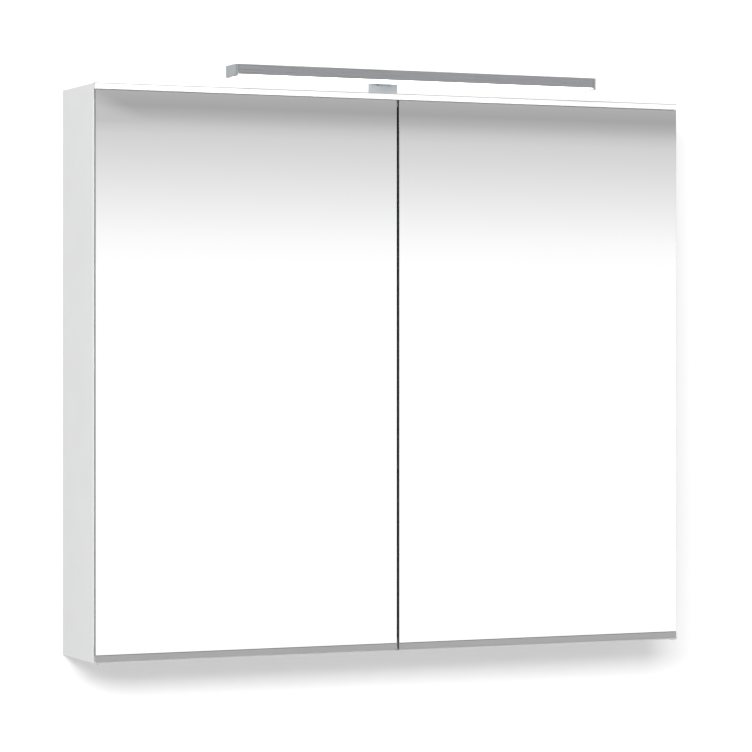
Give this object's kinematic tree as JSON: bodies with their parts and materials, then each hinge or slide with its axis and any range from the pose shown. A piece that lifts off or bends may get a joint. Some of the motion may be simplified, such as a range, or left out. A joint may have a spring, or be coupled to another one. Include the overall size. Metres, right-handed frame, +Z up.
{
  "type": "mirrored medicine cabinet",
  "caption": "Wall-hung white cabinet with mirrored swing doors, aluminium finger grips, glass shelves inside and a slim LED bar lamp on a short arm over its top edge.",
  "frame": {"origin": "middle of the hanging rail's rear face, in the wall plane", "axes": "+X to the cabinet's right as seen from the room, +Y towards the wall, +Z up"},
  "size_m": [0.8, 0.192, 0.7241],
  "materials": {
    "side_panel_left": "white melamine foil, satin",
    "side_panel_right": "white melamine foil, satin",
    "top_panel": "white melamine foil, satin",
    "bottom_panel": "white melamine foil, satin",
    "back_panel": "white melamine foil, satin",
    "hanging_rail": "white melamine foil, satin",
    "lower_rail": "white melamine foil, satin",
    "hanger_plate_left": "zinc plated",
    "hanger_screw_left_a": "zinc plated",
    "lug_screw_left_a": "zinc plated",
    "hanger_screw_left_b": "zinc plated",
    "lug_screw_left_b": "zinc plated",
    "shelf_support_left_lower_front": "nickel plated",
    "shelf_support_left_lower_back": "nickel plated",
    "shelf_support_left_upper_front": "nickel plated",
    "shelf_support_left_upper_back": "nickel plated",
    "magnet_catch_left": "light grey plastic",
    "top_pivot_pin_left": "turned",
    "bottom_pivot_lug_left": "zinc plated",
    "front_mirror_left": "silvered glass, ground edge",
    "rear_mirror_left": "silvered glass, ground edge",
    "door_top_rail_left": "satin anodised",
    "grip_profile_left": "satin anodised",
    "strike_plate_left": "nickel plated",
    "door_bumper_left": "clear silicone",
    "lamp_end_cap_left": "satin anodised",
    "arm_screw_left": "zinc plated",
    "hanger_plate_right": "zinc plated",
    "hanger_screw_right_a": "zinc plated",
    "lug_screw_right_a": "zinc plated",
    "hanger_screw_right_b": "zinc plated",
    "lug_screw_right_b": "zinc plated",
    "shelf_support_right_lower_front": "nickel plated",
    "shelf_support_right_lower_back": "nickel plated",
    "shelf_support_right_upper_front": "nickel plated",
    "shelf_support_right_upper_back": "nickel plated",
    "magnet_catch_right": "light grey plastic",
    "top_pivot_pin_right": "turned",
    "bottom_pivot_lug_right": "zinc plated",
    "front_mirror_right": "silvered glass, ground edge",
    "rear_mirror_right": "silvered glass, ground edge",
    "door_top_rail_right": "satin anodised",
    "grip_profile_right": "satin anodised",
    "strike_plate_right": "nickel plated",
    "door_bumper_right": "clear silicone",
    "lamp_end_cap_right": "satin anodised",
    "arm_screw_right": "zinc plated",
    "glass_shelf_lower": "clear float glass, polished edge",
    "glass_shelf_upper": "clear float glass, polished edge",
    "lamp_channel": "satin anodised",
    "lamp_diffuser": "opal acrylic, glowing",
    "led_board": "white solder mask",
    "lamp_foot": "satin anodised",
    "lamp_arm": "polished chrome",
    "foot_screw": "zinc plated",
    "driver_box": "light grey plastic",
    "driver_board": "green solder mask",
    "switch_cradle": "black plastic",
    "switch_rocker": "black plastic",
    "cable_grommet": "matt rubber"
  },
  "bodies": {
    "cabinet": {"side_panel_left": "side_panel_left", "side_panel_right": "side_panel_right", "top_panel": "top_panel", "bottom_panel": "bottom_panel", "back_panel": "back_panel", "hanging_rail": "hanging_rail", "lower_rail": "lower_rail", "hanger_plate_left": "hanger_plate_left", "hanger_screw_left_a": "hanger_screw_left_a", "lug_screw_left_a": "lug_screw_left_a", "hanger_screw_left_b": "hanger_screw_left_b", "lug_screw_left_b": "lug_screw_left_b", "shelf_support_left_lower_front": "shelf_support_left_lower_front", "shelf_support_left_lower_back": "shelf_support_left_lower_back", "shelf_support_left_upper_front": "shelf_support_left_upper_front", "shelf_support_left_upper_back": "shelf_support_left_upper_back", "magnet_catch_left": "magnet_catch_left", "top_pivot_pin_left": "top_pivot_pin_left", "bottom_pivot_lug_left": "bottom_pivot_lug_left", "lamp_end_cap_left": "lamp_end_cap_left", "arm_screw_left": "arm_screw_left", "hanger_plate_right": "hanger_plate_right", "hanger_screw_right_a": "hanger_screw_right_a", "lug_screw_right_a": "lug_screw_right_a", "hanger_screw_right_b": "hanger_screw_right_b", "lug_screw_right_b": "lug_screw_right_b", "shelf_support_right_lower_front": "shelf_support_right_lower_front", "shelf_support_right_lower_back": "shelf_support_right_lower_back", "shelf_support_right_upper_front": "shelf_support_right_upper_front", "shelf_support_right_upper_back": "shelf_support_right_upper_back", "magnet_catch_right": "magnet_catch_right", "top_pivot_pin_right": "top_pivot_pin_right", "bottom_pivot_lug_right": "bottom_pivot_lug_right", "lamp_end_cap_right": "lamp_end_cap_right", "arm_screw_right": "arm_screw_right", "glass_shelf_lower": "glass_shelf_lower", "glass_shelf_upper": "glass_shelf_upper", "lamp_channel": "lamp_channel", "lamp_diffuser": "lamp_diffuser", "led_board": "led_board", "lamp_foot": "lamp_foot", "lamp_arm": "lamp_arm", "foot_screw": "foot_screw", "driver_box": "driver_box", "driver_board": "driver_board", "switch_cradle": "switch_cradle", "cable_grommet": "cable_grommet"},
    "door_left": {"front_mirror_left": "front_mirror_left", "rear_mirror_left": "rear_mirror_left", "door_top_rail_left": "door_top_rail_left", "grip_profile_left": "grip_profile_left", "strike_plate_left": "strike_plate_left", "door_bumper_left": "door_bumper_left"},
    "door_right": {"front_mirror_right": "front_mirror_right", "rear_mirror_right": "rear_mirror_right", "door_top_rail_right": "door_top_rail_right", "grip_profile_right": "grip_profile_right", "strike_plate_right": "strike_plate_right", "door_bumper_right": "door_bumper_right"},
    "rocker": {"switch_rocker": "switch_rocker"}
  },
  "joints": [
    {"name": "door_left_hinge", "type": "hinge", "parent": "cabinet", "child": "door_left", "pos_m": [-0.3973, -0.11985, -0.2987], "axis": [0, 0, -1], "range_deg": [0, 95]},
    {"name": "door_right_hinge", "type": "hinge", "parent": "cabinet", "child": "door_right", "pos_m": [0.3973, -0.11985, -0.2987], "axis": [0, 0, 1], "range_deg": [0, 95]},
    {"name": "switch_press", "type": "hinge", "parent": "cabinet", "child": "rocker", "pos_m": [0.334, -0.0628, 0.019], "axis": [-1, 0, 0], "range_deg": [0, 14]}
  ]
}
